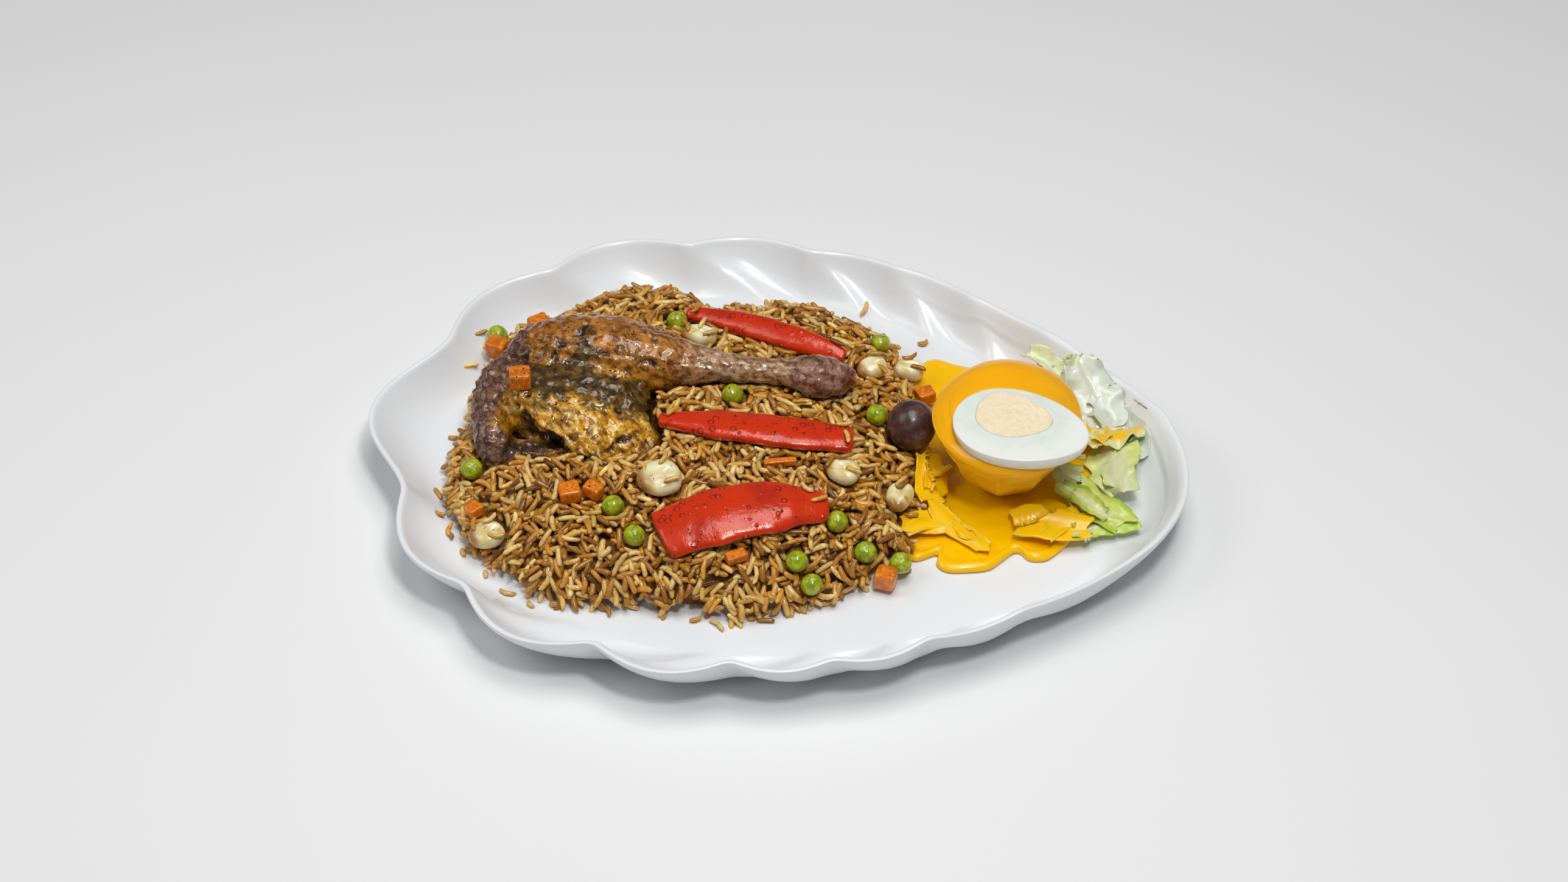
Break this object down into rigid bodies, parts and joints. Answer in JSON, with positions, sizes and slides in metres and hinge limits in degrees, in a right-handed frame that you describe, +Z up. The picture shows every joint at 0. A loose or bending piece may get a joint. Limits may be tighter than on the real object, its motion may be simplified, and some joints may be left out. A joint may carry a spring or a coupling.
{
  "type": "duck and rice plate",
  "caption": "Roast duck leg on a heap of rice with red pepper strips, peas, carrot and corn, beside a sauced potato with half an egg and lettuce, on a white scalloped plate.",
  "frame": {"origin": "middle of the plate's bounding box, on the table under its foot ring", "axes": "+X runs to the plate's pointed end, where the potato and lettuce are; +Y runs to the side away from the viewer; +Z is up"},
  "size_m": [0.3485, 0.268, 0.0564],
  "materials": {
    "white_glaze": "glossy white glaze",
    "rice": "cooked rice, tan and amber",
    "roast_skin": "roasted skin, golden brown with dark herbs",
    "red_pepper": "wet red skin",
    "pea": "green, slightly shiny",
    "carrot": "cooked orange",
    "corn": "pale waxy kernel",
    "olive": "dark purple skin",
    "potato": "yellow boiled potato",
    "yellow_sauce": "smooth wet sauce",
    "egg_white": "boiled white",
    "egg_yolk": "pale crumbly yolk",
    "lettuce": "thin translucent leaf"
  },
  "bodies": {
    "root": {"carrot_1": "carrot", "carrot_10": "carrot", "carrot_2": "carrot", "carrot_3": "carrot", "carrot_4": "carrot", "carrot_5": "carrot", "carrot_6": "carrot", "carrot_7": "carrot", "carrot_8": "carrot", "carrot_9": "carrot", "corn_1": "corn", "corn_2": "corn", "corn_3": "corn", "corn_4": "corn", "corn_5": "corn", "corn_6": "corn", "corn_7": "corn", "duck_leg": "roast_skin", "egg_white": "egg_white", "egg_yolk": "egg_yolk", "lettuce": "lettuce", "lettuce_left": "lettuce", "olive": "olive", "pea_1": "pea", "pea_10": "pea", "pea_11": "pea", "pea_12": "pea", "pea_13": "pea", "pea_2": "pea", "pea_3": "pea", "pea_4": "pea", "pea_5": "pea", "pea_6": "pea", "pea_7": "pea", "pea_8": "pea", "pea_9": "pea", "pepper_back": "red_pepper", "pepper_front": "red_pepper", "pepper_middle": "red_pepper", "plate": "white_glaze", "potato": "potato", "rice": "rice", "sauce_coat": "yellow_sauce", "sauce_pool": "yellow_sauce"}
  },
  "joints": []
}
